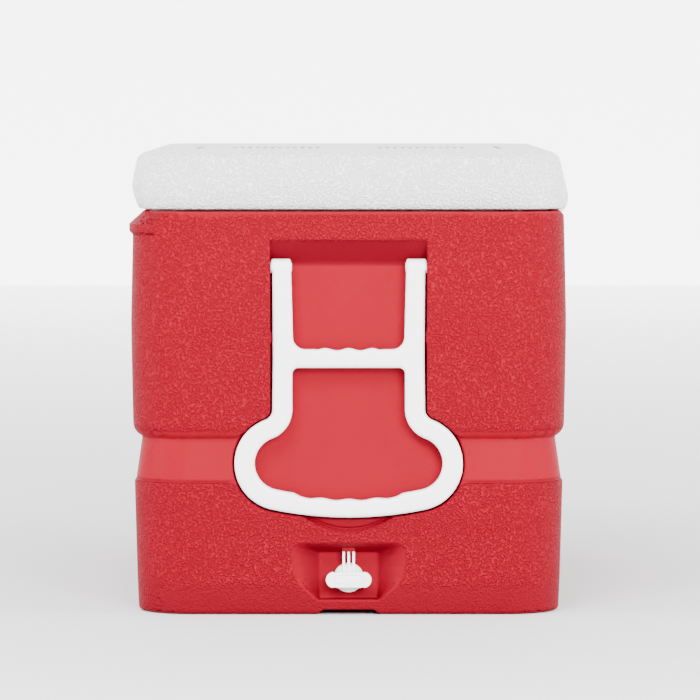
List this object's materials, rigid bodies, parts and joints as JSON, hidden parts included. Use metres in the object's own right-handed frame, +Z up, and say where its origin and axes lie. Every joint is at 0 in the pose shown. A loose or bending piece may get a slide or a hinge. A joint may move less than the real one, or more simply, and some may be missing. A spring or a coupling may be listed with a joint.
{
  "type": "ice chest",
  "caption": "Hard-sided insulated chest with a pin-hinged lid, a two-grip swing handle in a pocket at each end, and a plugged drain.",
  "frame": {"origin": "middle of the base, on the ground under the middle of the overall box", "axes": "+X along the length towards the drain end, -Y the front with the finger ledge, +Y the hinge side, +Z up"},
  "size_m": [0.716, 0.396, 0.414],
  "materials": {
    "red_shell": "satin",
    "white_lid": "satin",
    "white_liner": "satin",
    "white_handle": "gloss",
    "white_fitting": "satin",
    "foam": "matte",
    "seal_rubber": "matte",
    "steel": "satin"
  },
  "bodies": {
    "chest": {"outer_shell": "red_shell", "liner": "white_liner", "drain_sump": "white_liner", "body_foam": "foam", "drain_spout": "white_fitting", "drain_gasket": "seal_rubber", "drain_nut": "white_fitting", "drain_strap_anchor": "red_shell", "body_hinge_leaf_right": "white_fitting", "body_hinge_leaf_left": "white_fitting", "hinge_pin_right": "steel", "hinge_pin_left": "steel", "body_hinge_screws": "steel", "right_handle_pin_front": "white_fitting", "right_handle_pin_rear": "white_fitting", "left_handle_pin_front": "white_fitting", "left_handle_pin_rear": "white_fitting"},
    "lid": {"lid_shell": "white_lid", "lid_liner": "white_liner", "lid_foam": "foam", "lid_hinge_leaf_right": "white_fitting", "lid_hinge_leaf_left": "white_fitting", "lid_hinge_screws": "steel"},
    "right_handle": {"right_handle": "white_handle"},
    "left_handle": {"left_handle": "white_handle"},
    "drain_cap": {"drain_cap": "white_fitting", "drain_strap": "white_fitting", "drain_cap_seal": "seal_rubber"}
  },
  "joints": [
    {"name": "lid_hinge", "type": "hinge", "parent": "chest", "child": "lid", "pos_m": [0, 0.1925, 0.3629], "axis": [-1, 0, 0], "range_deg": [0, 100]},
    {"name": "right_handle_swing", "type": "hinge", "parent": "chest", "child": "right_handle", "pos_m": [0.348, 0, 0.3115], "axis": [0, -1, 0], "range_deg": [0, 130]},
    {"name": "left_handle_swing", "type": "hinge", "parent": "chest", "child": "left_handle", "pos_m": [-0.348, 0, 0.3115], "axis": [0, 1, 0], "range_deg": [0, 130]},
    {"name": "drain_cap_swing", "type": "hinge", "parent": "chest", "child": "drain_cap", "pos_m": [0.3403, 0, 0.0546], "axis": [0, -1, 0], "range_deg": [0, 80]}
  ]
}
